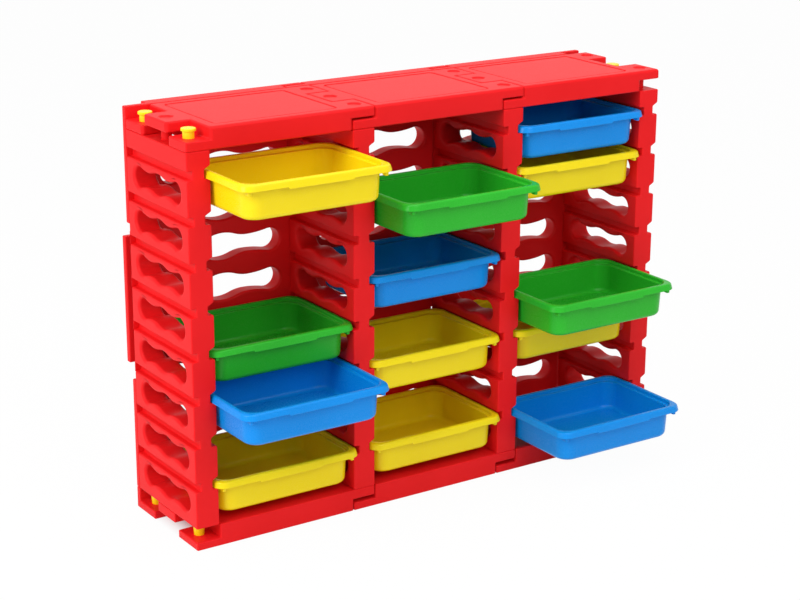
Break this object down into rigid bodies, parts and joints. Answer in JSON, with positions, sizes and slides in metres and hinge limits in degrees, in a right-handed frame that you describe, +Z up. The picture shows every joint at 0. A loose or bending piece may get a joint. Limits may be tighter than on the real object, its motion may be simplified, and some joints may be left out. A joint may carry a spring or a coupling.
{
  "type": "storage organizer",
  "caption": "Children's plastic storage rack: slotted side walls with grooves, lapped panels held by pins, and shallow coloured trays that slide out.",
  "frame": {"origin": "middle of the rack's footprint on the ground, trays not counted", "axes": "+X along the rack to the right as seen from the front, +Y to the back, +Z up; trays pull out along -Y"},
  "size_m": [1.098, 0.444, 0.811],
  "materials": {
    "rack_red": "satin moulded polyethylene",
    "pin_yellow": "glossy moulded plastic",
    "tray_yellow": "glossy moulded polypropylene",
    "tray_green": "glossy moulded polypropylene",
    "tray_blue": "glossy moulded polypropylene"
  },
  "bodies": {
    "rack": {"upright_1": "rack_red", "upright_2": "rack_red", "upright_3": "rack_red", "upright_4": "rack_red", "bottom_panel_1": "rack_red", "bottom_panel_2": "rack_red", "bottom_panel_3": "rack_red", "top_panel_1": "rack_red", "top_panel_2": "rack_red", "top_panel_3": "rack_red", "back_panel_1": "rack_red", "back_panel_2": "rack_red", "back_panel_3": "rack_red", "top_pins": "pin_yellow", "bottom_pins": "pin_yellow"},
    "tray_yellow_1": {"tray_yellow_1": "tray_yellow"},
    "tray_green_1": {"tray_green_1": "tray_green"},
    "tray_blue_1": {"tray_blue_1": "tray_blue"},
    "tray_yellow_2": {"tray_yellow_2": "tray_yellow"},
    "tray_green_2": {"tray_green_2": "tray_green"},
    "tray_blue_2": {"tray_blue_2": "tray_blue"},
    "tray_yellow_3": {"tray_yellow_3": "tray_yellow"},
    "tray_yellow_4": {"tray_yellow_4": "tray_yellow"},
    "tray_blue_3": {"tray_blue_3": "tray_blue"},
    "tray_yellow_5": {"tray_yellow_5": "tray_yellow"},
    "tray_green_3": {"tray_green_3": "tray_green"},
    "tray_yellow_6": {"tray_yellow_6": "tray_yellow"},
    "tray_blue_4": {"tray_blue_4": "tray_blue"}
  },
  "joints": [
    {"name": "tray_yellow_1_slide", "type": "slide", "parent": "rack", "child": "tray_yellow_1", "axis": [0, -1, 0], "range_m": [-0.14, 0.042]},
    {"name": "tray_green_1_slide", "type": "slide", "parent": "rack", "child": "tray_green_1", "axis": [0, -1, 0], "range_m": [-0.0045, 0.1775]},
    {"name": "tray_blue_1_slide", "type": "slide", "parent": "rack", "child": "tray_blue_1", "axis": [0, -1, 0], "range_m": [-0.132, 0.05]},
    {"name": "tray_yellow_2_slide", "type": "slide", "parent": "rack", "child": "tray_yellow_2", "axis": [0, -1, 0], "range_m": [-0.019, 0.163]},
    {"name": "tray_green_2_slide", "type": "slide", "parent": "rack", "child": "tray_green_2", "axis": [0, -1, 0], "range_m": [-0.132, 0.05]},
    {"name": "tray_blue_2_slide", "type": "slide", "parent": "rack", "child": "tray_blue_2", "axis": [0, -1, 0], "range_m": [-0.007, 0.175]},
    {"name": "tray_yellow_3_slide", "type": "slide", "parent": "rack", "child": "tray_yellow_3", "axis": [0, -1, 0], "range_m": [-0.01, 0.172]},
    {"name": "tray_yellow_4_slide", "type": "slide", "parent": "rack", "child": "tray_yellow_4", "axis": [0, -1, 0], "range_m": [-0.017, 0.165]},
    {"name": "tray_blue_3_slide", "type": "slide", "parent": "rack", "child": "tray_blue_3", "axis": [0, -1, 0], "range_m": [-0.018, 0.164]},
    {"name": "tray_yellow_5_slide", "type": "slide", "parent": "rack", "child": "tray_yellow_5", "axis": [0, -1, 0], "range_m": [-0.013, 0.169]},
    {"name": "tray_green_3_slide", "type": "slide", "parent": "rack", "child": "tray_green_3", "axis": [0, -1, 0], "range_m": [-0.135, 0.047]},
    {"name": "tray_yellow_6_slide", "type": "slide", "parent": "rack", "child": "tray_yellow_6", "axis": [0, -1, 0], "range_m": [-0.012, 0.17]},
    {"name": "tray_blue_4_slide", "type": "slide", "parent": "rack", "child": "tray_blue_4", "axis": [0, -1, 0], "range_m": [-0.172, 0.01]}
  ]
}
